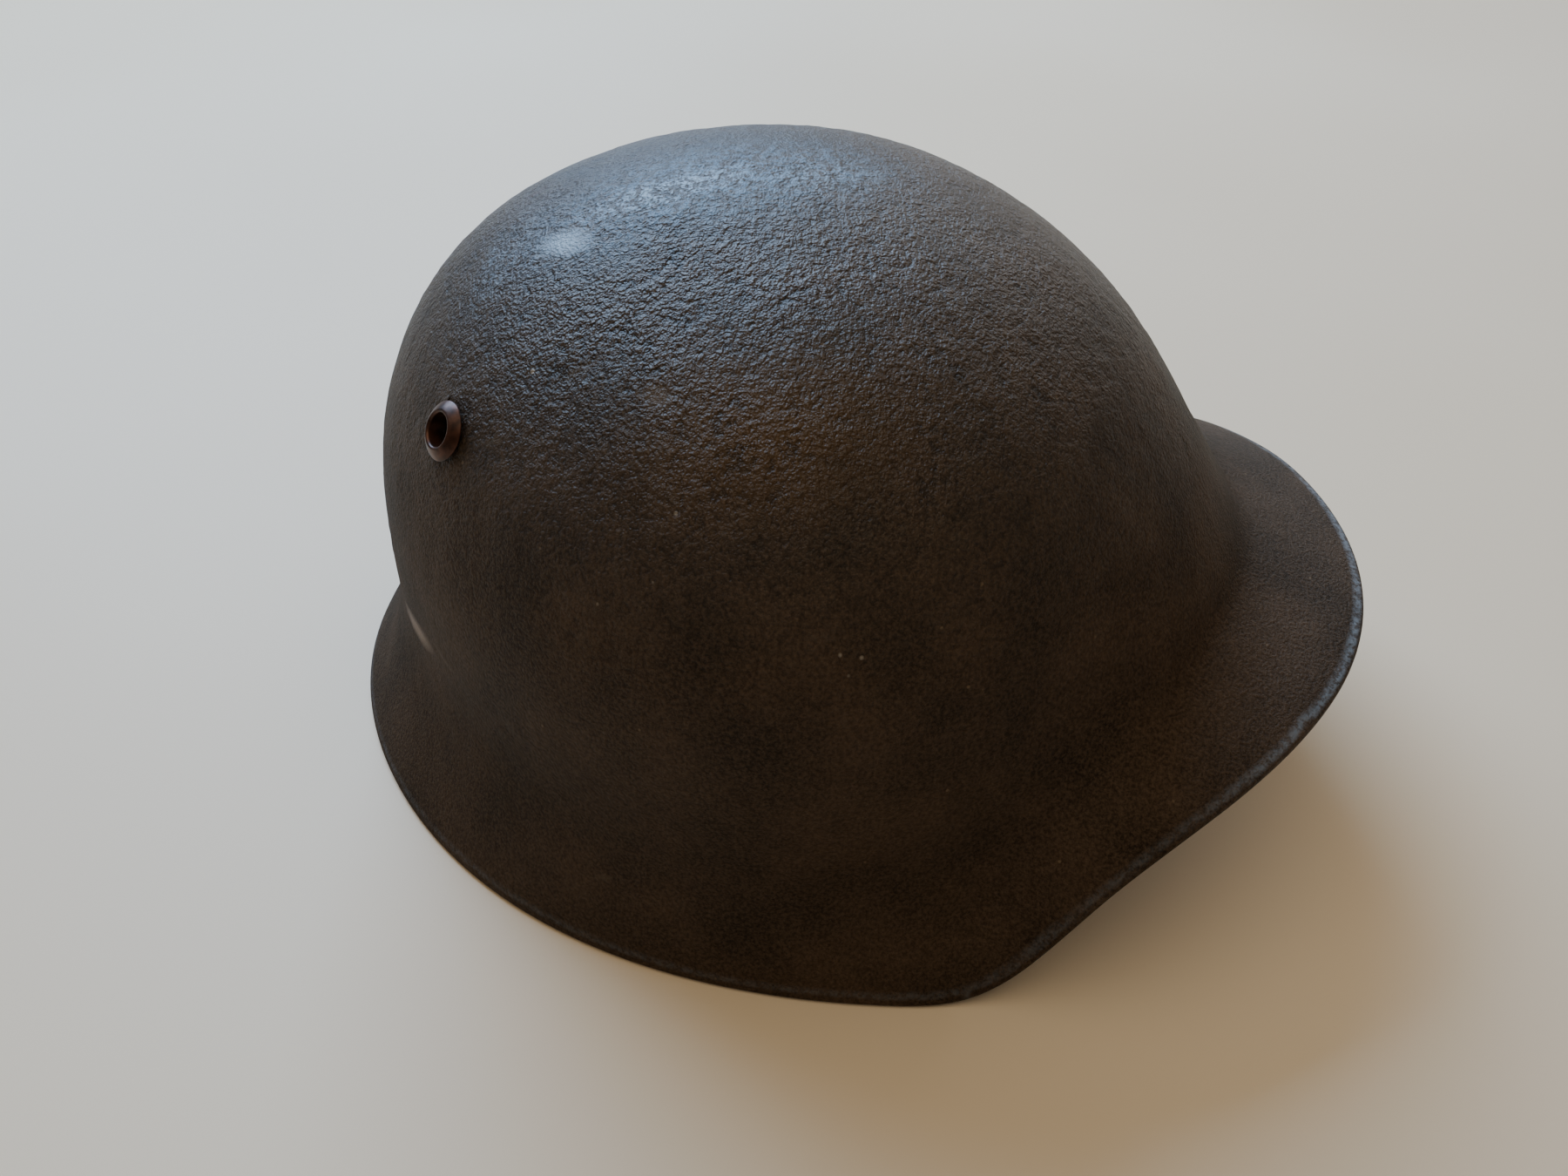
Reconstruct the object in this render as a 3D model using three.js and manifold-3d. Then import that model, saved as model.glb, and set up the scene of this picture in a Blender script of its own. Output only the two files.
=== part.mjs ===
// A pressed steel helmet with a deep flared skirt, standing on its own rim.
// Millimetres, +Z up, visor towards -Y, the wearer's left towards +X.
// The origin is on the floor, at the middle of the helmet's footprint.

import * as THREE from "three";
import { mergeVertices } from "three/addons/utils/BufferGeometryUtils.js";
import Module from "manifold-3d";

// Dome, measured from the crown's axis
const DOME_FRONT = 116.5;
const DOME_BACK = 131;
const DOME_HALF_WIDTH = 120;
const DOME_RISE = 113.5; // crown above the widest line
const WAIST_HEIGHT = 52.5; // widest line above the floor, at the crown's axis
const WAIST_SLOPE = 0.11; // rise of that line for each millimetre towards the nape
const PLAN_POWER = 1.85; // 2 is an ellipse seen from above
const PROFILE_POWER = 2.12; // 2 is an ellipse seen from the side

// Rim, measured from the dome outwards and from the floor upwards
const VISOR_REACH = 38.5;
const SIDE_FLARE = 7.9;
const NAPE_FLARE = 18;
const VISOR_LIFT = 63;
const FILLET_PULL = 0.38; // 0.35 rounds the fillet as an arc, more tightens it

// Sheet, with its edge rolled into a bead and a hem
const SHEET = 1.2;
const BEAD_RADIUS = 1.6;
const BEAD_FLAT = 0.2; // how much of the bead is worn flat where it stands
const HEM_LENGTH = 5;

// Vent rivets, one on each side towards the nape
const VENT_ANGLE = 139.7; // degrees round from the visor
const VENT_FALL = 60.5; // degrees down the dome from the crown
const VENT_FLANGE = 15;
const VENT_BORE = 8.2;
const VENT_WALL = 0.8;
const VENT_RISE = 1.9; // height of the collar above its edge
const VENT_EDGE = 0.3; // thickness of the collar's edge
const COLLAR_POWER = 1.15; // 1 is a straight cone, 2 a quarter ellipse
const CLINCH_WIDTH = 1.5; // how far the inner end is spread over the hole
const CLINCH_THICKNESS = 0.8;
const FIT = 0.3; // clearance between a rivet and the sheet

// How finely the faces are laid
const MERIDIANS = 88;
const DOME_STEPS = 13;
const STRAIGHT_STEPS = 2; // each side of the fillet between dome and flare
const FILLET_STEPS = 6;
const BEAD_STEPS = 7;
const VENT_SIDES = 20;
const COLLAR_STEPS = 5;

// Sections round the helmet, in degrees from the visor. out is the rim's share of a plain
// elliptic rim, lift its share of the visor's lift, leave the angle down the dome where the
// flare begins, fall how steeply the skirt meets the rim, and upper and lower are the shares
// of the flare's length over which its two ends stay straight.
const SECTIONS = [
  { angle: 0, out: 1, lift: 1, leave: 54.5, fall: 14, upper: 0.46, lower: 0.4 },
  { angle: 20, out: 1.001, lift: 0.98, leave: 54.5, fall: 16, upper: 0.46, lower: 0.4 },
  { angle: 30, out: 1.003, lift: 0.92, leave: 56, fall: 20, upper: 0.46, lower: 0.36 },
  { angle: 40, out: 1.008, lift: 0.81, leave: 61, fall: 30, upper: 0.45, lower: 0.28 },
  { angle: 50, out: 1.011, lift: 0.55, leave: 70, fall: 45, upper: 0.28, lower: 0.28 },
  { angle: 55, out: 1.0115, lift: 0.27, leave: 75, fall: 53, upper: 0.22, lower: 0.28 },
  { angle: 60, out: 1.012, lift: 0.05, leave: 80, fall: 60, upper: 0.2, lower: 0.26 },
  { angle: 65, out: 1.0125, lift: 0, leave: 84, fall: 64, upper: 0.2, lower: 0.23 },
  { angle: 75, out: 1.0045, lift: 0, leave: 90, fall: 71, upper: 0.08, lower: 0.5 },
  { angle: 90, out: 1, lift: 0, leave: 90, fall: 77, upper: 0.07, lower: 0.43 },
  { angle: 115, out: 1.001, lift: 0, leave: 90, fall: 72, upper: 0.05, lower: 0.46 },
  { angle: 150, out: 0.994, lift: 0, leave: 90, fall: 66, upper: 0.12, lower: 0.33 },
  { angle: 180, out: 1, lift: 0, leave: 90, fall: 60, upper: 0.24, lower: 0.27 },
];

const RIM_FRONT = DOME_FRONT + VISOR_REACH;
const RIM_BACK = DOME_BACK + NAPE_FLARE;
const RIM_HALF_WIDTH = DOME_HALF_WIDTH + SIDE_FLARE;
const CROWN_Y = (RIM_FRONT - RIM_BACK) / 2;

const STEEL = { color: 0x2b2721, roughness: 0.55, metalness: 0.35 };
const WORN_STEEL = { color: 0x4a3a30, roughness: 0.42, metalness: 0.55 };

// Sections between the rows

// The slope of a column at one row: level where the column turns, and at the middle plane.
function rowSlope(column, row) {
  const last = SECTIONS.length - 1;
  if (row === 0 || row === last) {
    return 0;
  }
  const [before, here, after] = [row - 1, row, row + 1].map((index) => SECTIONS[index]);
  const rising = (after[column] - here[column]) / (after.angle - here.angle);
  const fallen = (here[column] - before[column]) / (here.angle - before.angle);
  if (rising * fallen <= 0) {
    return 0;
  }
  return (2 * rising * fallen) / (rising + fallen);
}

// A column's value at any angle, on a smooth curve through its rows that never overshoots.
function section(column, degrees) {
  const angle = Math.min(Math.abs(degrees), 180);
  let row = 0;
  while (row < SECTIONS.length - 2 && angle > SECTIONS[row + 1].angle) {
    row += 1;
  }
  const start = SECTIONS[row];
  const end = SECTIONS[row + 1];
  const span = end.angle - start.angle;
  const t = (angle - start.angle) / span;
  const startSlope = rowSlope(column, row) * span;
  const endSlope = rowSlope(column, row + 1) * span;
  const fromStart = (start[column] * (1 + 2 * t) + startSlope * t) * (1 - t) ** 2;
  const fromEnd = (end[column] * (3 - 2 * t) - endSlope * (1 - t)) * t ** 2;
  return fromStart + fromEnd;
}

// Outer skin

function planRadius(power, front, back, halfWidth, degrees) {
  const angle = THREE.MathUtils.degToRad(degrees);
  const along = Math.cos(angle) > 0 ? front : back;
  const sum = Math.abs(Math.cos(angle) / along) ** power + Math.abs(Math.sin(angle) / halfWidth) ** power;
  return sum ** (-1 / power);
}

// A point at a distance from the crown's axis and a height, on the meridian at an angle.
function onMeridian(degrees, radius, height) {
  const angle = THREE.MathUtils.degToRad(degrees);
  return new THREE.Vector3(radius * Math.sin(angle), CROWN_Y - radius * Math.cos(angle), height);
}

// The dome's section: distance from the axis and height, fall degrees down from the crown.
function domeSection(degrees, fall) {
  const reach = planRadius(PLAN_POWER, DOME_FRONT, DOME_BACK, DOME_HALF_WIDTH, degrees);
  const share = Math.sin(THREE.MathUtils.degToRad(fall));
  const radius = reach * share;
  const slope = -WAIST_SLOPE * radius * Math.cos(THREE.MathUtils.degToRad(degrees));
  const rise = DOME_RISE * Math.max(1 - share ** PROFILE_POWER, 0) ** (1 / PROFILE_POWER);
  return new THREE.Vector2(radius, WAIST_HEIGHT + slope + rise);
}

function beadCentre(degrees) {
  const reach = planRadius(2, RIM_FRONT, RIM_BACK, RIM_HALF_WIDTH, degrees) * section("out", degrees);
  const height = section("lift", degrees) * VISOR_LIFT + BEAD_RADIUS - BEAD_FLAT;
  return new THREE.Vector2(reach - BEAD_RADIUS, height);
}

// The flare's section: straight off the dome, round a fillet, and straight to the rim's bead.
function flareSection(degrees) {
  const leave = section("leave", degrees);
  const start = domeSection(degrees, leave);
  const above = domeSection(degrees, leave - 0.5);
  const downDome = start.clone().sub(above).normalize();
  const fall = THREE.MathUtils.degToRad(section("fall", degrees));
  const toRim = new THREE.Vector2(Math.cos(fall), -Math.sin(fall));
  const upward = new THREE.Vector2(Math.sin(fall), Math.cos(fall));
  const end = beadCentre(degrees).addScaledVector(upward, BEAD_RADIUS);
  const length = start.distanceTo(end);
  const filletStart = start.clone().addScaledVector(downDome, section("upper", degrees) * length);
  const filletEnd = end.clone().addScaledVector(toRim, -section("lower", degrees) * length);
  const pull = FILLET_PULL * filletStart.distanceTo(filletEnd);
  const fillet = new THREE.CubicBezierCurve(
    filletStart,
    filletStart.clone().addScaledVector(downDome, pull),
    filletEnd.clone().addScaledVector(toRim, -pull),
    filletEnd,
  );
  const hemStart = end.clone().addScaledVector(toRim, -HEM_LENGTH);
  return [
    ...stepsAlong(new THREE.LineCurve(start, filletStart), STRAIGHT_STEPS),
    ...stepsAlong(fillet, FILLET_STEPS),
    ...stepsAlong(new THREE.LineCurve(filletEnd, hemStart), STRAIGHT_STEPS),
    end,
  ];
}

function stepsAlong(curve, steps) {
  return curve.getPoints(steps).slice(1);
}

// One meridian of the outer skin, from just below the crown to the rim. The last two points
// lie a hem's length apart, so that the hem can end there.
function outerMeridian(degrees) {
  const leave = section("leave", degrees);
  const points = [];
  for (let step = 1; step <= DOME_STEPS; step += 1) {
    points.push(domeSection(degrees, (leave * step) / DOME_STEPS));
  }
  points.push(...flareSection(degrees));
  return points.map((point) => onMeridian(degrees, point.x, point.y));
}

// Sheet with thickness

// The outward normal of the skin where row and column meet.
function skinNormal(grid, column, row) {
  const meridian = grid[column];
  const count = grid.length;
  const down = meridian[Math.min(row + 1, meridian.length - 1)].clone().sub(meridian[Math.max(row - 1, 0)]);
  const round = grid[(column + 1) % count][row].clone().sub(grid[(column + count - 1) % count][row]);
  return round.cross(down).negate().normalize();
}

// The bead at one meridian: half a circle round from the outer skin to the hem's underside,
// across the rim's own direction, and never lower than the floor.
function beadArc(grid, column) {
  const last = grid[column].length - 1;
  const edge = grid[column][last];
  const upward = skinNormal(grid, column, last);
  const down = edge.clone().sub(grid[column][last - 1]);
  const outward = down.addScaledVector(upward, -down.dot(upward)).normalize();
  const centre = edge.clone().addScaledVector(upward, -BEAD_RADIUS);
  const points = [];
  for (let step = 1; step <= BEAD_STEPS; step += 1) {
    const turn = (Math.PI * step) / BEAD_STEPS;
    const point = centre.clone();
    point.addScaledVector(upward, BEAD_RADIUS * Math.cos(turn));
    point.addScaledVector(outward, BEAD_RADIUS * Math.sin(turn));
    point.z = Math.max(point.z, 0);
    points.push(point);
  }
  return points;
}

// A closed section of the sheet at one meridian: outer skin, bead, hem and inner skin.
function sheetSection(grid, column) {
  const outer = grid[column];
  const inward = outer.map((point, row) => {
    const normal = skinNormal(grid, column, row);
    return (depth) => point.clone().addScaledVector(normal, -depth);
  });
  const hemRow = outer.length - 2;
  const inner = [inward[hemRow](2 * BEAD_RADIUS)];
  for (let row = hemRow; row >= 0; row -= 1) {
    inner.push(inward[row](SHEET));
  }
  return [...outer, ...beadArc(grid, column), ...inner];
}

// A closed mesh from sections that all run from the outer crown to the inner one.
function loftedSheet(sections, outerCrown, innerCrown) {
  const rows = sections[0].length;
  const columns = sections.length;
  const points = [...sections.flat(), outerCrown, innerCrown];
  const at = (column, row) => (column % columns) * rows + row;
  const outerIndex = points.length - 2;
  const innerIndex = points.length - 1;
  const faces = [];
  for (let column = 0; column < columns; column += 1) {
    faces.push(outerIndex, at(column, 0), at(column + 1, 0));
    faces.push(innerIndex, at(column + 1, rows - 1), at(column, rows - 1));
    for (let row = 0; row < rows - 1; row += 1) {
      faces.push(at(column, row), at(column, row + 1), at(column + 1, row + 1));
      faces.push(at(column, row), at(column + 1, row + 1), at(column + 1, row));
    }
  }
  const geometry = new THREE.BufferGeometry().setFromPoints(points);
  geometry.setIndex(faces);
  return geometry;
}

function shellGeometry() {
  const grid = [];
  for (let column = 0; column < MERIDIANS; column += 1) {
    const turn = (360 * column) / MERIDIANS;
    grid.push(outerMeridian(turn > 180 ? turn - 360 : turn));
  }
  const sections = grid.map((_, column) => sheetSection(grid, column));
  const crown = domeSection(0, 0).y;
  const outerCrown = new THREE.Vector3(0, CROWN_Y, crown);
  const innerCrown = new THREE.Vector3(0, CROWN_Y, crown - SHEET);
  return loftedSheet(sections, outerCrown, innerCrown);
}

// Vent rivets

const STEM_RADIUS = VENT_BORE / 2 + VENT_WALL;

// Where a vent sits on the outer skin, and the way that the skin faces there.
function ventSeat(side) {
  const skin = (degrees, fall) => {
    const point = domeSection(degrees, fall);
    return onMeridian(degrees, point.x, point.y);
  };
  const degrees = side * VENT_ANGLE;
  const place = skin(degrees, VENT_FALL);
  const round = skin(degrees + 1, VENT_FALL).sub(skin(degrees - 1, VENT_FALL));
  const down = skin(degrees, VENT_FALL + 1).sub(skin(degrees, VENT_FALL - 1));
  return { place, normal: down.cross(round).normalize() };
}

// How far the dome falls away from a flat seat, at a distance from the seat's middle.
function skinDrop(distance) {
  return distance ** 2 / (2 * DOME_HALF_WIDTH);
}

// The rivet's section: x from its axis, y above the outer skin. The collar's outside is a
// slightly rounded cone, and the bore's mouth a quarter ellipse.
function ventSection() {
  const bore = VENT_BORE / 2;
  const flange = VENT_FLANGE / 2;
  const clinch = STEM_RADIUS + FIT + CLINCH_WIDTH;
  const collarEdge = FIT - skinDrop(flange) + VENT_EDGE;
  const clinchTop = -SHEET - FIT - skinDrop(clinch);
  const points = [
    [bore, clinchTop - CLINCH_THICKNESS],
    [clinch, clinchTop - CLINCH_THICKNESS],
    [clinch, clinchTop],
    [STEM_RADIUS, clinchTop],
    [STEM_RADIUS, FIT - skinDrop(STEM_RADIUS)],
    [flange, FIT - skinDrop(flange)],
  ];
  for (let step = 0; step <= COLLAR_STEPS; step += 1) {
    const turn = (Math.PI * step) / (2 * COLLAR_STEPS);
    const inward = Math.max(Math.cos(turn), 0) ** (2 / COLLAR_POWER);
    const rise = VENT_RISE * Math.sin(turn) ** (2 / COLLAR_POWER);
    points.push([STEM_RADIUS + (flange - STEM_RADIUS) * inward, collarEdge + rise]);
  }
  for (let step = 1; step <= COLLAR_STEPS - 2; step += 1) {
    const turn = (Math.PI * step) / (2 * (COLLAR_STEPS - 2));
    const out = STEM_RADIUS - VENT_WALL * Math.sin(turn);
    points.push([out, collarEdge + VENT_RISE - VENT_WALL * (1 - Math.cos(turn))]);
  }
  points.push(points[0]);
  return points.map(([x, y]) => new THREE.Vector2(x, y));
}

// Turned round its own axis, which is then stood upright.
function ventGeometry() {
  return new THREE.LatheGeometry(ventSection(), VENT_SIDES).rotateX(Math.PI / 2);
}

function faceAlong(object, { place, normal }) {
  object.position.copy(place);
  object.quaternion.setFromUnitVectors(new THREE.Vector3(0, 0, 1), normal);
  object.updateMatrix();
  return object;
}

// Cutting

const wasm = await Module();
wasm.setup();

function toSolid(geometry) {
  const bare = geometry.clone();
  bare.deleteAttribute("normal");
  bare.deleteAttribute("uv");
  const merged = mergeVertices(bare);
  const vertProperties = new Float32Array(merged.attributes.position.array);
  const triVerts = new Uint32Array(merged.index.array);
  return new wasm.Manifold(new wasm.Mesh({ numProp: 3, vertProperties, triVerts }));
}

function fromSolid(solid) {
  const mesh = solid.getMesh();
  const geometry = new THREE.BufferGeometry();
  geometry.setAttribute("position", new THREE.BufferAttribute(mesh.vertProperties, mesh.numProp));
  geometry.setIndex(new THREE.BufferAttribute(mesh.triVerts, 1));
  geometry.computeVertexNormals();
  return geometry;
}

// The hole that a vent's stem passes through.
function ventHole(side) {
  const depth = VENT_FLANGE;
  const drill = new THREE.CylinderGeometry(STEM_RADIUS + FIT, STEM_RADIUS + FIT, depth, VENT_SIDES);
  const holder = faceAlong(new THREE.Object3D(), ventSeat(side));
  return drill.rotateX(Math.PI / 2).applyMatrix4(holder.matrix);
}

// Assembly

const helmet = new THREE.Group();

const drilled = [1, -1].reduce(
  (solid, side) => solid.subtract(toSolid(ventHole(side))),
  toSolid(shellGeometry()),
);
const shell = new THREE.Mesh(fromSolid(drilled), new THREE.MeshStandardMaterial(STEEL));
shell.name = "shell";
helmet.add(shell);

for (const [name, side] of [["vent_rivet_left", 1], ["vent_rivet_right", -1]]) {
  const vent = new THREE.Mesh(ventGeometry(), new THREE.MeshStandardMaterial(WORN_STEEL));
  vent.name = name;
  helmet.add(faceAlong(vent, ventSeat(side)));
}

export default helmet;
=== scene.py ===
import math

import bpy
from mathutils import Matrix, Vector
from mathutils.geometry import intersect_point_line
from mathutils.kdtree import KDTree


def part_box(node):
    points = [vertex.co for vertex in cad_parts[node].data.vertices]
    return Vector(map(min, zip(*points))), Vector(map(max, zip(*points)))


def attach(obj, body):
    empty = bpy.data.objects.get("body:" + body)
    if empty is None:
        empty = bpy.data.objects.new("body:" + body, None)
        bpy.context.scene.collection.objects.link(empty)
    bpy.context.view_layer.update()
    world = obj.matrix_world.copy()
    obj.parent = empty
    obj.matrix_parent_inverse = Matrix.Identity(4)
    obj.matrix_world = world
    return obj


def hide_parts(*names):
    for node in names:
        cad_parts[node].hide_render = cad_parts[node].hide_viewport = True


# The painted steel helmet: a pressed sheet shell with a rolled rim, and a hollow vent
# rivet on each side at the back. The visor points towards -Y and the crown towards +Z.

MM = 0.001

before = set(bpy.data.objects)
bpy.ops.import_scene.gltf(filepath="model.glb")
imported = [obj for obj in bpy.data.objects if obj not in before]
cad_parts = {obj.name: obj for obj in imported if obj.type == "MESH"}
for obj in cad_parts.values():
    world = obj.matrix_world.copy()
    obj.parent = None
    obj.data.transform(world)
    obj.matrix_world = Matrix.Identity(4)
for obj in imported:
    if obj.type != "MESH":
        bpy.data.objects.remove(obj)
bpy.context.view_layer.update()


# Camera: it stands on the wearer's right and looks down on the helmet.

PICTURE_WIDTH = 1800
FOCAL_PIXELS = 1389.7
SENSOR_MM = 36.0
CAMERA_PLACE = Vector((-289.6, -41.9, 284.5)) * MM
CAMERA_HEADING = math.radians(10.98)
CAMERA_DIP = math.radians(41.17)
CAMERA_ROLL = math.radians(1.46)
CAMERA_NEAR = 10 * MM


def camera_axes():
    """The camera's right, up and backward directions."""
    forward = Vector((
        math.cos(CAMERA_HEADING) * math.cos(CAMERA_DIP),
        math.sin(CAMERA_HEADING) * math.cos(CAMERA_DIP),
        -math.sin(CAMERA_DIP),
    ))
    level = Vector((math.sin(CAMERA_HEADING), -math.cos(CAMERA_HEADING), 0.0))
    raised = level.cross(forward)
    right = math.cos(CAMERA_ROLL) * level + math.sin(CAMERA_ROLL) * raised
    up = math.cos(CAMERA_ROLL) * raised - math.sin(CAMERA_ROLL) * level
    return right, up, -forward


def add_camera():
    data = bpy.data.cameras.new("camera")
    data.sensor_width = SENSOR_MM
    data.lens = FOCAL_PIXELS * SENSOR_MM / PICTURE_WIDTH
    data.clip_start = CAMERA_NEAR
    camera = bpy.data.objects.new("camera", data)
    bpy.context.scene.collection.objects.link(camera)
    turned = Matrix(camera_axes()).transposed().to_4x4()
    camera.matrix_world = Matrix.Translation(CAMERA_PLACE) @ turned
    bpy.context.scene.camera = camera


# Marks on the paint, and patches of highlight and reflection painted into its colour: name, one
# end and the other in millimetres, half the width, and a share from 0 to 1 for how plain the mark
# is.

# Painted highlight: the window's bluish reflection on the crown, laid into the colour. The first
# patch is also smoother paint with less relief.
SMOOTH_PATCH_WITH_HIGHLIGHT = (
    ("smooth patch with a painted highlight at the back of the crown", (-33, 67, 155), (-34.5, 60, 156.5), 6, 0.9),
)
# Painted highlight in streaks and faint patches on the crown.
CROWN_HIGHLIGHTS = (
    ("streaky painted highlight on the crown", (-26, 59, 160), (-8, 24, 167), 7, 1.0),
    ("faint painted highlight on the crown's top", (-10, 14, 167), (2, -2, 165), 9, 0.35),
    ("faint painted highlight behind the crown", (-40, 82, 143), (-18, 78, 152), 10, 0.3),
)
CHIPS = (
    ("scratch above the vent", (-70.5, 55, 139.6), (-67, 44.5, 145.3), 1.6, 0.8),
    ("smooth chip", (-74.6, 31.5, 143.6), (-75.2, 27.5, 143.4), 3, 1.0),
    ("chip below the crown", (-61.5, -6.5, 151.3), (-59.5, -6.8, 152.4), 2, 0.8),
    ("nick on the front of the crown", (10, -43.3, 152.6), (7, -44.8, 152), 1.4, 0.8),
)
# Smears on the paint. The third is no smear but the faint end of the painted highlight in the
# crease above the nape.
SMEARS_AND_CREASE_HIGHLIGHT = (
    ("smear in front of the vent", (-75, 74, 123.4), (-78.3, 63, 127.9), 1.2, 0.7),
    ("second smear in front of the vent", (-83.6, 42.7, 131.8), (-84.3, 36, 133.4), 1.0, 0.7),
    ("thin end of the painted crease highlight", (-82, 93.5, 62), (-93, 80, 60), 1.3, 0.8),
    ("streak above the visor", (-4.6, -97.6, 103), (-4.2, -99.4, 100), 0.9, 0.8),
    ("smear on the skirt", (-117.6, 40, 22), (-119, 31, 26.4), 1.3, 0.6),
    ("smear on the side", (-113.3, 39, 74.5), (-114, 33, 75), 0.9, 0.8),
)
FLECK_PLACES = (
    (-93.5, 20.2, 126.4), (-102.3, 23.5, 113.6), (-103.7, 36.2, 105.9), (-104.6, -18.7, 103.1),
    (-103.4, -23.3, 102.2), (-106, -21.1, 98.7), (-111.9, -6.7, 94), (-33, 12, 163.5),
    (-88, -40, 121), (-66, 61, 139), (-50, -52, 138), (-97, 52, 96), (-110, 8, 84),
)
FLECK_LENGTH = 0.3
FLECK_HALF_WIDTH = 0.75
FLECKS = tuple(
    ("fleck", (x, y, z), (x, y, z - FLECK_LENGTH), FLECK_HALF_WIDTH, 1.0)
    for x, y, z in FLECK_PLACES
)
RUST_SPOTS = (
    ("rubbed spot at the back of the crown", (-8, 84, 153), (-1, 80, 155.4), 3.2, 0.8),
    ("rust under the vent", (-83, 84, 108), (-85, 86, 100), 3, 0.5),
)
# Painted sheen: a faint bluish reflection of the window over the back of the crown.
CROWN_SHEEN_PATCH = (("painted bluish sheen over the back of the crown", (-30, 62, 157), (4, 2, 166), 26, 1.0),)
FLAKED = (("most flaked paint on the back of the crown", (-56, 62, 143), (-38, 14, 160), 34, 1.0),)
# Painted highlight: the floor mirrored at a grazing angle in the concave crease above the nape.
CREASE_HIGHLIGHT_STREAK = (("painted highlight in the crease above the nape", (-65, 109, 54.5), (-80, 96, 58), 5, 1.0),)
# Painted reflection: a warm brown glow on the side of the dome.
WARM_REFLECTION_PATCH = (("painted warm reflection on the side", (-82, 20, 136), (-72, -14, 140), 24, 1.0),)


# Modelling

MERGE_WITHIN = 0.002 * MM
QUAD_ANGLE = math.radians(60)
ROUNDING_LEVELS = 2


def pick(piece):
    """Leaves this piece alone selected and active."""
    bpy.ops.object.select_all(action="DESELECT")
    piece.select_set(True)
    bpy.context.view_layer.objects.active = piece


def finish_with(piece, kind, name, **settings):
    """Adds a modifier and applies it."""
    pick(piece)
    modifier = piece.modifiers.new(name, kind)
    for field, value in settings.items():
        setattr(modifier, field, value)
    bpy.ops.object.modifier_apply(modifier=modifier.name)


def worked_copy(node, name):
    """A copy of a frame solid with its loose triangles merged into quads."""
    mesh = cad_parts[node].data.copy()
    mesh.name = name
    mesh.materials.clear()
    piece = bpy.data.objects.new(name, mesh)
    bpy.context.scene.collection.objects.link(piece)
    pick(piece)
    if mesh.has_custom_normals:
        bpy.ops.mesh.customdata_custom_splitnormals_clear()
    bpy.ops.object.mode_set(mode="EDIT")
    bpy.ops.mesh.select_all(action="SELECT")
    bpy.ops.mesh.remove_doubles(threshold=MERGE_WITHIN)
    bpy.ops.mesh.tris_convert_to_quads(face_threshold=QUAD_ANGLE, shape_threshold=QUAD_ANGLE)
    bpy.ops.object.mode_set(mode="OBJECT")
    return piece


def select_verts(piece, wanted):
    """Selects the vertices whose place passes the test, and stays in edit mode."""
    bpy.ops.object.mode_set(mode="EDIT")
    bpy.ops.mesh.select_mode(type="VERT")
    bpy.ops.mesh.select_all(action="DESELECT")
    bpy.ops.object.mode_set(mode="OBJECT")
    for vertex in piece.data.vertices:
        vertex.select = wanted(vertex.co)
    bpy.ops.object.mode_set(mode="EDIT")


def middle_of(node):
    low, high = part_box(node)
    return (low + high) / 2


# Shell

# The upright line in the middle of the shell, and the height of the middle of its dome.
CROWN_AXIS_Y = 3 * MM
DOME_MIDDLE_Z = 60 * MM

# Smoothing of the rounded mesh round each rivet.
HOLE_REACH = 16 * MM
HOLE_SMOOTHING = 0.5
HOLE_SMOOTHING_ROUNDS = 4

# Relief of the outer face: small dimples in the paint, chips, and wide swells of the
# pressing. Dimples and swells are left out within RIM_CLEAR of the rim and are full
# RIM_FADE further in. Their middle level of 1 lets them only press inwards.
DIMPLE_SIZE = 4.5 * MM
DIMPLE_DEPTH = 0.5 * MM
CHIP_DEPTH = 0.6 * MM
SWELL_SIZE = 32 * MM
SWELL_DEPTH = 0.5 * MM
RIM_CLEAR = 7 * MM
RIM_FADE = 12 * MM


def rim_points(mesh):
    """The outermost point of the rolled rim at each degree round the shell."""
    widest = {}
    for vertex in mesh.vertices:
        across = Vector((vertex.co.x, vertex.co.y - CROWN_AXIS_Y))
        turn = round(math.degrees(math.atan2(across.x, -across.y)))
        if turn not in widest or across.length > widest[turn][0]:
            widest[turn] = (across.length, vertex.co.copy())
    return [place for _reach, place in widest.values()]


def rim_tree(mesh):
    points = rim_points(mesh)
    tree = KDTree(len(points))
    for index, place in enumerate(points):
        tree.insert(place, index)
    tree.balance()
    return tree


def is_outside(vertex):
    """Whether a vertex is on the outer face, with its normal away from the middle."""
    across = Vector((
        vertex.co.x, vertex.co.y - CROWN_AXIS_Y, max(vertex.co.z - DOME_MIDDLE_Z, 0)))
    return vertex.normal.dot(across.normalized()) > 0


def mark_points(piece, name, values):
    """Gives each point a value that a material can read."""
    mark = piece.data.attributes.new(name, "FLOAT", "POINT")
    mark.data.foreach_set("value", values)


def cloud_texture(name, size):
    texture = bpy.data.textures.new(name, "CLOUDS")
    texture.noise_scale = size
    return texture


def chip_depth(place):
    """How deep the paint is gone at a place: 1 in the middle of a chip, 0 away from it."""
    deepest = 0.0
    for _name, start, end, half_width, _share in CHIPS:
        start, end = Vector(start) * MM, Vector(end) * MM
        near, share = intersect_point_line(place, start, end)
        if share < 0 or share > 1:
            near = start if share < 0 else end
        deepest = max(deepest, 1.0 - ((place - near).length / (half_width * MM)) ** 2)
    return deepest


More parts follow.
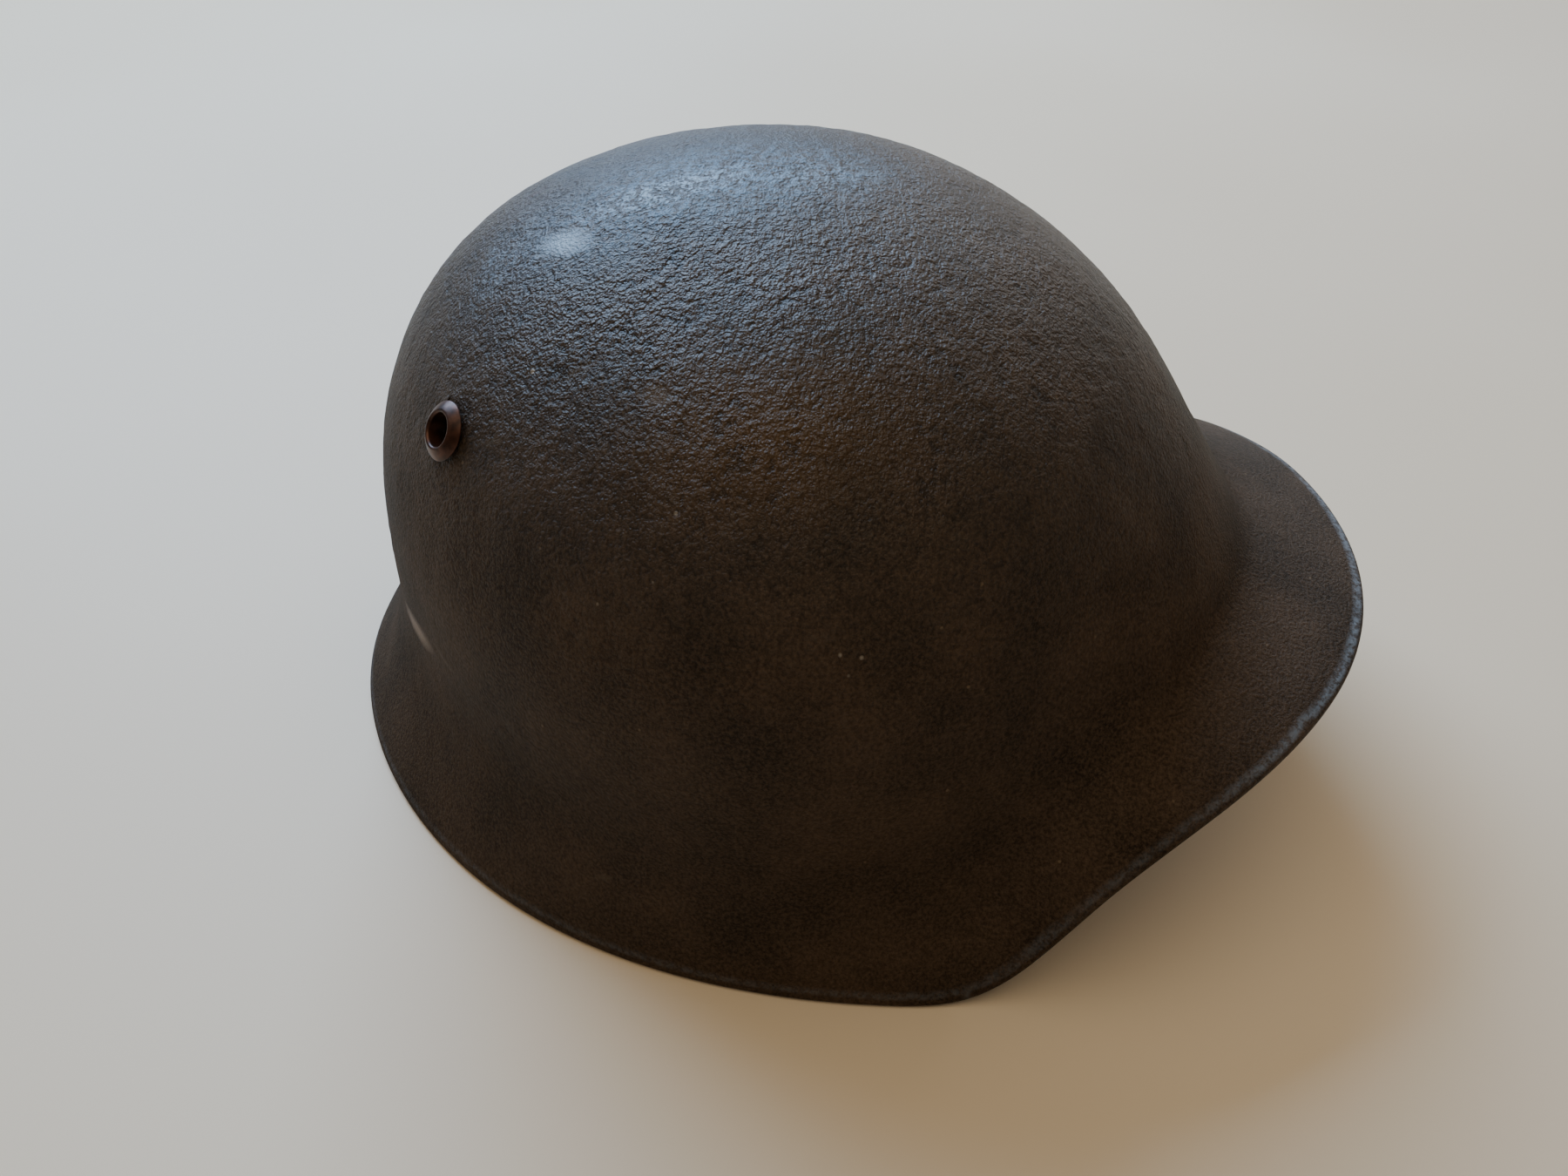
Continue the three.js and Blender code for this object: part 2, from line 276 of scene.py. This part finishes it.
def make_shell():
    shell = worked_copy("shell", "helmet_shell")
    vents = [middle_of("vent_rivet_left"), middle_of("vent_rivet_right")]

    def by_a_vent(place):
        return min((place - vent).length for vent in vents) < HOLE_REACH

    finish_with(
        shell, "SUBSURF", "rounded", levels=ROUNDING_LEVELS, render_levels=ROUNDING_LEVELS)
    select_verts(shell, by_a_vent)
    bpy.ops.mesh.vertices_smooth(factor=HOLE_SMOOTHING, repeat=HOLE_SMOOTHING_ROUNDS)
    bpy.ops.object.mode_set(mode="OBJECT")

    tree = rim_tree(shell.data)
    away = [tree.find(vertex.co)[2] for vertex in shell.data.vertices]
    outside = [1.0 if is_outside(vertex) else 0.0 for vertex in shell.data.vertices]
    mark_points(shell, "rim_distance", away)
    mark_points(shell, "outside", outside)
    relief = shell.vertex_groups.new(name="relief")
    for index, distance in enumerate(away):
        if outside[index]:
            weight = min(max((distance - RIM_CLEAR) / RIM_FADE, 0.0), 1.0)
            relief.add([index], weight, "REPLACE")
    finish_with(
        shell, "DISPLACE", "swell", texture=cloud_texture("pressing unevenness", SWELL_SIZE),
        texture_coords="LOCAL", vertex_group="relief", mid_level=1.0, strength=SWELL_DEPTH)
    finish_with(
        shell, "DISPLACE", "dimples", texture=cloud_texture("paint dimples", DIMPLE_SIZE),
        texture_coords="LOCAL", vertex_group="relief", mid_level=1.0, strength=DIMPLE_DEPTH)
    chips = shell.vertex_groups.new(name="chips")
    for index, vertex in enumerate(shell.data.vertices):
        depth = chip_depth(vertex.co)
        if outside[index] and depth > 0:
            chips.add([index], depth, "REPLACE")
    finish_with(
        shell, "DISPLACE", "chips", vertex_group="chips", mid_level=0.0, strength=-CHIP_DEPTH)
    pick(shell)
    bpy.ops.object.shade_smooth()
    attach(shell, "root")
    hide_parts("shell")
    return shell


# Vent rivets

TURNED_EDGE = 0.12 * MM
TURNED_EDGE_ANGLE = math.radians(50)


def make_vent(side):
    vent = worked_copy("vent_rivet_" + side, "vent_" + side)
    finish_with(
        vent, "BEVEL", "turned edges", width=TURNED_EDGE, segments=2, limit_method="ANGLE",
        angle_limit=TURNED_EDGE_ANGLE)
    finish_with(
        vent, "SUBSURF", "rounded", levels=ROUNDING_LEVELS, render_levels=ROUNDING_LEVELS)
    pick(vent)
    bpy.ops.object.shade_smooth()
    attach(vent, "root")
    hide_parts("vent_rivet_" + side)
    return vent


# Materials

def colour(code):
    """An sRGB hex colour as linear red, green, blue and alpha."""
    parts = [int(code[start:start + 2], 16) / 255 for start in (1, 3, 5)]
    return tuple(
        [part / 12.92 if part <= 0.04045 else ((part + 0.055) / 1.055) ** 2.4 for part in parts]
    ) + (1.0,)


def add(material, kind, gives, fields=None, inputs=None, stops=None):
    """Adds one node with its settings, its values and links, and a ramp's stops; gives one
    of its outputs, or nothing for a node without any."""
    made = material.node_tree.nodes.new(kind)
    for field, value in (fields or {}).items():
        setattr(made, field, value)
    for socket, value in (inputs or {}).items():
        if isinstance(value, bpy.types.NodeSocket):
            material.node_tree.links.new(value, made.inputs[socket])
        else:
            made.inputs[socket].default_value = value
    for index, (place, shade) in enumerate(stops or []):
        ramp = made.color_ramp.elements
        stop = ramp[index] if index < len(ramp) else ramp.new(place)
        stop.position = place
        stop.color = shade
    return None if gives is None else made.outputs[gives]


# The sockets that the Mix node uses for colours.
MIX_SHARE = 0
MIX_UNDER = 6
MIX_OVER = 7
MIX_RESULT = 2


def new_material(name):
    material = bpy.data.materials.new(name)
    material.use_nodes = True
    material.node_tree.nodes.clear()
    return material


def mask_of(material, where, marks, edge):
    """A mask with each mark's own share inside the mark and 0 outside. A mark is a long
    rounded spot round its two ends, and edge is the part of its radius that fades out."""
    covered = 0.0
    for _name, start, end, half_width, share in marks:
        start, end = Vector(start) * MM, Vector(end) * MM
        turn = (end - start).to_track_quat("X", "Z").to_euler()
        reach = (end - start).length / 2 + half_width * MM
        spot = add(
            material, "ShaderNodeMapping", "Vector", fields={"vector_type": "TEXTURE"},
            inputs={"Vector": where, "Location": (start + end) / 2, "Rotation": turn,
                    "Scale": (reach, half_width * MM, half_width * MM)})
        away = add(
            material, "ShaderNodeVectorMath", "Value", fields={"operation": "LENGTH"},
            inputs={0: spot})
        mask = add(
            material, "ShaderNodeMapRange", "Result",
            inputs={"Value": away, "From Min": 1.0, "From Max": 1.0 - edge, "To Max": share})
        covered = add(
            material, "ShaderNodeMath", "Value", fields={"operation": "MAXIMUM"},
            inputs={0: covered, 1: mask})
    return covered


# The paint's noise patterns: the output that is used, size in millimetres, detail, roughness.
NOISES = {
    "clouds": ("Fac", 26, 4.0, 0.5),
    "waves": ("Fac", 6, 2.0, 0.5),
    "lumps": ("Fac", 2.3, 2.0, 0.9),
    "rags": ("Color", 2.6, 3.0, 0.65),
    "grain": ("Fac", 0.9, 2.0, 0.7),
}
CRUMB_SIZE = 1.6 * MM
FLECK_CELL = 9 * MM

# How far the ragged edges of marks stray, in two strengths.
STRAYING = {"torn": 4 * MM, "tattered": 14 * MM}

# What each pattern adds to the flaked height, the heights at which the painted shade in the pits
# or a crest starts and is full, and the depth of the fine grain.
FLAKING = {"waves": 1.6 * MM, "lumps": 1.8 * MM, "crumbs": -0.7 * MM}
HEIGHT_MARKS = {"pit_shade": (1.25 * MM, 0.87 * MM), "crest": (1.52 * MM, 1.97 * MM)}
GRAIN_DEPTH = 0.6 * MM

# The colours laid over the base colour, real marks and painted light alike, in this order: mark,
# strength, colour.
LAYERS = (
    # painted warm brown reflection on the side of the dome
    ("warm_reflection", 0.65, "#573d1c"),
    ("rusted", 0.5, "#47251b"),
    ("crest", 0.35, "#524d46"),
    # painted bluish sheen and highlight of the window on the crown
    ("painted_sheen", 0.85, "#60809a"),
    ("painted_highlight", 0.85, "#94aabd"),
    ("chipped", 0.25, "#665a4c"),
    # smears, and the faint end of the painted crease highlight
    ("smears_and_highlight", 0.3, "#665c4e"),
    ("flecked", 0.8, "#a2988a"),
    ("strays", 0.5, "#7c6a55"),
    # painted highlight in the crease above the nape
    ("crease_highlight", 0.8, "#998a7e"),
    # rubbed rim with a painted bluish highlight of the window, strongest on the visor
    ("rim_wear_and_highlight", 0.7, "#7a8692"),
    # painted shade in the pits of the flaked relief
    ("pit_shade", 0.9, "#060403"),
)


def paint_surface(material):
    """All that the paint's look depends on, by name: the place and its parts, the values
    that the mesh carries, and the patterns."""
    place = add(material, "ShaderNodeTexCoord", "Object")
    surface = {
        "place": place,
        "along": add(material, "ShaderNodeSeparateXYZ", "Y", inputs={"Vector": place}),
        "height": add(material, "ShaderNodeSeparateXYZ", "Z", inputs={"Vector": place}),
    }
    for name in ("rim_distance", "outside"):
        surface[name] = add(
            material, "ShaderNodeAttribute", "Fac", fields={"attribute_name": name})
    for name, (gives, size, detail, roughness) in NOISES.items():
        surface[name] = add(
            material, "ShaderNodeTexNoise", gives,
            inputs={"Vector": place, "Scale": 1 / (size * MM), "Detail": detail,
                    "Roughness": roughness})
    shift = add(
        material, "ShaderNodeVectorMath", "Vector", fields={"operation": "SUBTRACT"},
        inputs={0: surface["rags"], 1: (0.5, 0.5, 0.5)})
    for name, reach in STRAYING.items():
        surface[name] = add(
            material, "ShaderNodeVectorMath", "Vector", fields={"operation": "MULTIPLY_ADD"},
            inputs={0: shift, 1: (reach, reach, reach), 2: place})
    surface["crumbs"] = add(
        material, "ShaderNodeTexVoronoi", "Distance",
        inputs={"Vector": surface["torn"], "Scale": 1 / CRUMB_SIZE})
    return surface


def stray_flecks(material, place):
    """A mask of a few tiny flecks, one to each cell of the paint at the most."""
    cells = {"Vector": place, "Scale": 1 / FLECK_CELL}
    from_fleck = add(material, "ShaderNodeTexVoronoi", "Distance", inputs=cells)
    cell_colour = add(material, "ShaderNodeTexVoronoi", "Color", inputs=cells)
    dots = add(
        material, "ShaderNodeMapRange", "Result",
        inputs={"Value": from_fleck, "From Min": 0.06, "From Max": 0.03})
    chosen = add(
        material, "ShaderNodeMath", "Value", fields={"operation": "GREATER_THAN"},
        inputs={0: cell_colour, 1: 0.5})
    return add(
        material, "ShaderNodeMath", "Value", fields={"operation": "MULTIPLY"},
        inputs={0: dots, 1: chosen})


def rubbed_and_highlit_rim(material, surface):
    """A mask of the rolled rim: paint rubbed in a ragged band just inside its outermost points,
    with the window's bluish highlight on the bead painted into it, most of all on the visor."""
    rim_wear_and_highlight = add(
        material, "ShaderNodeMapRange", "Result",
        inputs={"Value": surface["rim_distance"], "From Min": 4.4 * MM, "From Max": 2.8 * MM})
    off_the_edge = add(
        material, "ShaderNodeMapRange", "Result",
        inputs={"Value": surface["rim_distance"], "From Min": 1.2 * MM, "From Max": 2.2 * MM})
    breaks = add(
        material, "ShaderNodeMapRange", "Result",
        inputs={"Value": surface["lumps"], "From Min": 0.4, "From Max": 0.6, "To Min": 0.25})
    # Strongest on the visor, where the window's painted highlight falls on the bead.
    brightest_towards_visor = add(
        material, "ShaderNodeMapRange", "Result",
        inputs={"Value": surface["along"], "From Min": -105 * MM, "From Max": -142 * MM,
                "To Min": 0.28})
    for share in (off_the_edge, breaks, brightest_towards_visor, surface["outside"]):
        rim_wear_and_highlight = add(
            material, "ShaderNodeMath", "Value", fields={"operation": "MULTIPLY"},
            inputs={0: rim_wear_and_highlight, 1: share})
    return rim_wear_and_highlight


def paint_marks(material, surface):
    """A mask for each kind of mark and of painted highlight or reflection, by name."""
    place, torn = surface["place"], surface["torn"]
    # The painted highlight and sheen on the crown are broken up onto the tops of the lumps.
    mottle = add(
        material, "ShaderNodeMapRange", "Result",
        inputs={"Value": surface["lumps"], "From Min": 0.45, "From Max": 0.58})
    highlight_streaks = add(
        material, "ShaderNodeMath", "Value", fields={"operation": "MULTIPLY"},
        inputs={0: mask_of(material, surface["tattered"], CROWN_HIGHLIGHTS, edge=0.7), 1: mottle})
    painted_highlight = add(
        material, "ShaderNodeMath", "Value", fields={"operation": "MAXIMUM"},
        inputs={0: highlight_streaks, 1: mask_of(material, torn, SMOOTH_PATCH_WITH_HIGHLIGHT, edge=0.8)})
    painted_sheen = add(
        material, "ShaderNodeMath", "Value", fields={"operation": "MULTIPLY"},
        inputs={0: mask_of(material, torn, CROWN_SHEEN_PATCH, edge=0.9), 1: mottle})
    # Painted light among these masks: the crown highlight and sheen, the crease highlight, the
    # warm reflection and the rim's highlight.
    return {
        "painted_highlight": painted_highlight,
        "painted_sheen": painted_sheen,
        "chipped": mask_of(material, place, CHIPS, edge=0.3),
        "smears_and_highlight": mask_of(material, torn, SMEARS_AND_CREASE_HIGHLIGHT, edge=0.5),
        "flecked": mask_of(material, place, FLECKS, edge=0.4),
        "rusted": mask_of(material, torn, RUST_SPOTS, edge=0.8),
        "warm_reflection": mask_of(material, torn, WARM_REFLECTION_PATCH, edge=0.9),
        "crease_highlight": mask_of(material, place, CREASE_HIGHLIGHT_STREAK, edge=0.7),
        "strays": stray_flecks(material, place),
        "rim_wear_and_highlight": rubbed_and_highlit_rim(material, surface),
    }


def paint_relief(material, surface, marks):
    """The flaked height, how strong it is at each place, and the normal with the grain. The
    flaking is strongest on the crown. Inside the shell there is only the grain."""
    strong = add(
        material, "ShaderNodeMapRange", "Result",
        inputs={"Value": surface["height"], "From Min": 80 * MM, "From Max": 136 * MM,
                "To Min": 0.22})
    worn = mask_of(material, surface["place"], CHIPS + SMEARS_AND_CREASE_HIGHLIGHT + SMOOTH_PATCH_WITH_HIGHLIGHT, edge=0.5)
    unworn = add(
        material, "ShaderNodeMapRange", "Result",
        inputs={"Value": worn, "From Max": 0.8, "To Min": 1.0, "To Max": 0.25})
    cloudy = add(
        material, "ShaderNodeMapRange", "Result",
        inputs={"Value": surface["clouds"], "From Min": 0.35, "From Max": 0.6, "To Min": 0.6})
    flaky = add(
        material, "ShaderNodeMapRange", "Result",
        inputs={"Value": mask_of(material, surface["torn"], FLAKED, edge=0.9), "To Min": 0.65})
    for share in (unworn, cloudy, flaky, surface["outside"]):
        strong = add(
            material, "ShaderNodeMath", "Value", fields={"operation": "MULTIPLY"},
            inputs={0: strong, 1: share})
    flaked = 0.0
    for name, weight in FLAKING.items():
        flaked = add(
            material, "ShaderNodeMath", "Value", fields={"operation": "MULTIPLY_ADD"},
            inputs={0: surface[name], 1: weight, 2: flaked})
    coarse = add(
        material, "ShaderNodeBump", "Normal",
        inputs={"Height": flaked, "Distance": 1.0, "Strength": strong})
    grainy = add(
        material, "ShaderNodeMapRange", "Result",
        inputs={"Value": marks["rim_wear_and_highlight"], "From Max": 0.6, "To Min": 0.9, "To Max": 0.25})
    fine = add(
        material, "ShaderNodeBump", "Normal",
        inputs={"Height": surface["grain"], "Distance": GRAIN_DEPTH, "Strength": grainy,
                "Normal": coarse})
    return flaked, strong, fine


def paint_tone(material, surface, marks, flaked, strong):
    """Near-black brown with browner clouds and a fine paler grain, under the marks, the painted
    highlights and reflections, and the painted shade in the pits. The inside has one plain colour."""
    base = add(
        material, "ShaderNodeValToRGB", "Color", inputs={"Fac": surface["clouds"]},
        stops=[(0.35, colour("#291f17")), (0.65, colour("#4a3a2d"))])
    speckle = add(
        material, "ShaderNodeValToRGB", "Color", inputs={"Fac": surface["grain"]},
        stops=[(0.35, colour("#15100b")), (0.7, colour("#5f4e3f"))])
    tone = add(
        material, "ShaderNodeMix", MIX_RESULT, fields={"data_type": "RGBA"},
        inputs={MIX_SHARE: 0.45, MIX_UNDER: base, MIX_OVER: speckle})
    masks = dict(marks)
    # The pit shade is painted shade in the low places of the flaked relief.
    for name, (start, full) in HEIGHT_MARKS.items():
        reached = add(
            material, "ShaderNodeMapRange", "Result",
            inputs={"Value": flaked, "From Min": start, "From Max": full})
        masks[name] = add(
            material, "ShaderNodeMath", "Value", fields={"operation": "MULTIPLY"},
            inputs={0: reached, 1: strong})
    for name, strength, code in LAYERS:
        share = add(
            material, "ShaderNodeMath", "Value", fields={"operation": "MULTIPLY"},
            inputs={0: masks[name], 1: strength})
        tone = add(
            material, "ShaderNodeMix", MIX_RESULT, fields={"data_type": "RGBA"},
            inputs={MIX_SHARE: share, MIX_UNDER: tone, MIX_OVER: colour(code)})
    return add(
        material, "ShaderNodeMix", MIX_RESULT, fields={"data_type": "RGBA"},
        inputs={MIX_SHARE: surface["outside"], MIX_UNDER: colour("#2f261c"), MIX_OVER: tone})


def paint_gloss(material, surface, marks):
    """How rough the paint is and how much it mirrors. It is a little smoother on the crown and
    smoothest under the painted crown highlight and on the rubbed rim. The crown's middle and the
    visor mirror the most."""
    dull = add(
        material, "ShaderNodeMapRange", "Result",
        inputs={"Value": surface["height"], "From Min": 40 * MM, "From Max": 140 * MM,
                "To Min": 0.66, "To Max": 0.44})
    highlight_gloss = add(
        material, "ShaderNodeMath", "Value", fields={"operation": "MULTIPLY"},
        inputs={0: marks["painted_highlight"], 1: 0.5})
    smoother = add(
        material, "ShaderNodeMath", "Value", fields={"operation": "MAXIMUM"},
        inputs={0: highlight_gloss, 1: marks["rim_wear_and_highlight"]})
    rough = add(
        material, "ShaderNodeMath", "Value", fields={"operation": "MULTIPLY_ADD"},
        inputs={0: smoother, 1: -0.16, 2: dull})
    visor_shine = add(
        material, "ShaderNodeMapRange", "Result",
        inputs={"Value": surface["along"], "From Min": -85 * MM, "From Max": -125 * MM,
                "To Max": 0.26})
    crown_shine = add(
        material, "ShaderNodeMapRange", "Result",
        inputs={"Value": surface["height"], "From Min": 98 * MM, "From Max": 152 * MM,
                "To Min": 0.16, "To Max": 0.5})
    from_middle = add(
        material, "ShaderNodeMath", "Value", fields={"operation": "ABSOLUTE"},
        inputs={0: surface["along"]})
    near_middle = add(
        material, "ShaderNodeMapRange", "Result",
        inputs={"Value": from_middle, "From Min": 62 * MM, "From Max": 105 * MM,
                "To Min": 1.0, "To Max": 0.48})
    dome_shine = add(
        material, "ShaderNodeMath", "Value", fields={"operation": "MULTIPLY"},
        inputs={0: crown_shine, 1: near_middle})
    shine = add(
        material, "ShaderNodeMath", "Value", fields={"operation": "MAXIMUM"},
        inputs={0: visor_shine, 1: dome_shine})
    return rough, shine


def pitted_paint():
    """Brushed field paint on pressed steel, aged and flaked: near-black brown and rough,
    so that a lamp gives it a wide grainy sheen and never a sharp highlight. Highlights,
    reflections and shade in the pits are also painted into its colour."""
    material = new_material("aged rough painted steel")
    surface = paint_surface(material)
    marks = paint_marks(material, surface)
    flaked, strong, normal = paint_relief(material, surface, marks)
    tone = paint_tone(material, surface, marks, flaked, strong)
    rough, shine = paint_gloss(material, surface, marks)
    shader = add(
        material, "ShaderNodeBsdfPrincipled", "BSDF",
        inputs={"Base Color": tone, "Roughness": rough, "Normal": normal, "IOR": 1.45,
                "Specular IOR Level": shine})
    add(material, "ShaderNodeOutputMaterial", None, inputs={"Surface": shader})
    return material


RUST_SIZE = 3 * MM
RUST_DEPTH = 0.1 * MM


def worn_steel():
    """Turned steel rivet, its paint rubbed off and browned by rust: smooth dull metal that
    catches a small brown glint."""
    material = new_material("worn browned steel")
    place = add(material, "ShaderNodeTexCoord", "Object")
    rust = add(
        material, "ShaderNodeTexNoise", "Fac",
        inputs={"Vector": place, "Scale": 1 / RUST_SIZE, "Detail": 4.0})
    tone = add(
        material, "ShaderNodeValToRGB", "Color", inputs={"Fac": rust},
        stops=[(0.35, colour("#2a1812")), (0.65, colour("#553629"))])
    relief = add(
        material, "ShaderNodeBump", "Normal",
        inputs={"Height": rust, "Distance": RUST_DEPTH, "Strength": 0.4})
    shader = add(
        material, "ShaderNodeBsdfPrincipled", "BSDF",
        inputs={"Base Color": tone, "Metallic": 0.6, "Roughness": 0.36, "Normal": relief})
    add(material, "ShaderNodeOutputMaterial", None, inputs={"Surface": shader})
    return material


FLOOR_CLOUD_SIZE = 500 * MM


def pale_floor():
    """A plain pale matt floor with faint wide clouds, which shows the helmet's soft shadow."""
    material = new_material("plain pale floor")
    place = add(material, "ShaderNodeTexCoord", "Object")
    wide = add(
        material, "ShaderNodeTexNoise", "Fac",
        inputs={"Vector": place, "Scale": 1 / FLOOR_CLOUD_SIZE, "Detail": 2.0})
    tone = add(
        material, "ShaderNodeValToRGB", "Color", inputs={"Fac": wide},
        stops=[(0.3, colour("#e0cbae")), (0.7, colour("#e8d5ba"))])
    shader = add(
        material, "ShaderNodeBsdfPrincipled", "BSDF",
        inputs={"Base Color": tone, "Roughness": 0.5})
    add(material, "ShaderNodeOutputMaterial", None, inputs={"Surface": shader})
    return material


# Floor and light

FLOOR_WIDTH = 6.0
LIT_POINT = Vector((0, 0, 100 * MM))
SOFT_FILL = 0.12


def add_floor():
    bpy.ops.object.select_all(action="DESELECT")
    bpy.ops.mesh.primitive_plane_add(size=FLOOR_WIDTH, location=(0, 0, 0))
    floor = bpy.context.active_object
    floor.name = "floor"
    floor.data.materials.append(pale_floor())


def add_softbox(name, heading, height, distance, width, depth, watts, tint):
    """An area light that faces the helmet: heading in degrees from +X towards +Y, height in
    degrees above the floor, distance, width and depth in metres."""
    data = bpy.data.lights.new(name, "AREA")
    data.shape = "RECTANGLE"
    data.size = width
    data.size_y = depth
    data.energy = watts
    data.color = colour(tint)[:3]
    lamp = bpy.data.objects.new(name, data)
    bpy.context.scene.collection.objects.link(lamp)
    turn, rise = math.radians(heading), math.radians(height)
    away = Vector((
        math.cos(turn) * math.cos(rise), math.sin(turn) * math.cos(rise), math.sin(rise)))
    facing = away.to_track_quat("Z", "Y").to_matrix().to_4x4()
    lamp.matrix_world = Matrix.Translation(LIT_POINT + distance * away) @ facing


def add_lights():
    add_softbox(
        "window softbox", heading=38, height=38, distance=1.8, width=1.5, depth=1.1,
        watts=66, tint="#b6d8ff")
    add_softbox(
        "ceiling softbox", heading=160, height=82, distance=1.7, width=2.2, depth=1.8,
        watts=16.5, tint="#fdeac9")
    add_softbox(
        "far wall softbox", heading=-18, height=17, distance=2.4, width=2.2, depth=0.8,
        watts=12, tint="#f3f1ee")
    world = bpy.data.worlds.new("soft studio")
    world.use_nodes = True
    backdrop = world.node_tree.nodes["Background"]
    backdrop.inputs["Color"].default_value = colour("#f4e3d0")
    backdrop.inputs["Strength"].default_value = SOFT_FILL
    bpy.context.scene.world = world


add_camera()
helmet_shell = make_shell()
right_vent = make_vent("right")
left_vent = make_vent("left")
helmet_shell.data.materials.append(pitted_paint())
rivet_finish = worn_steel()
right_vent.data.materials.append(rivet_finish)
left_vent.data.materials.append(rivet_finish)
add_floor()
add_lights()
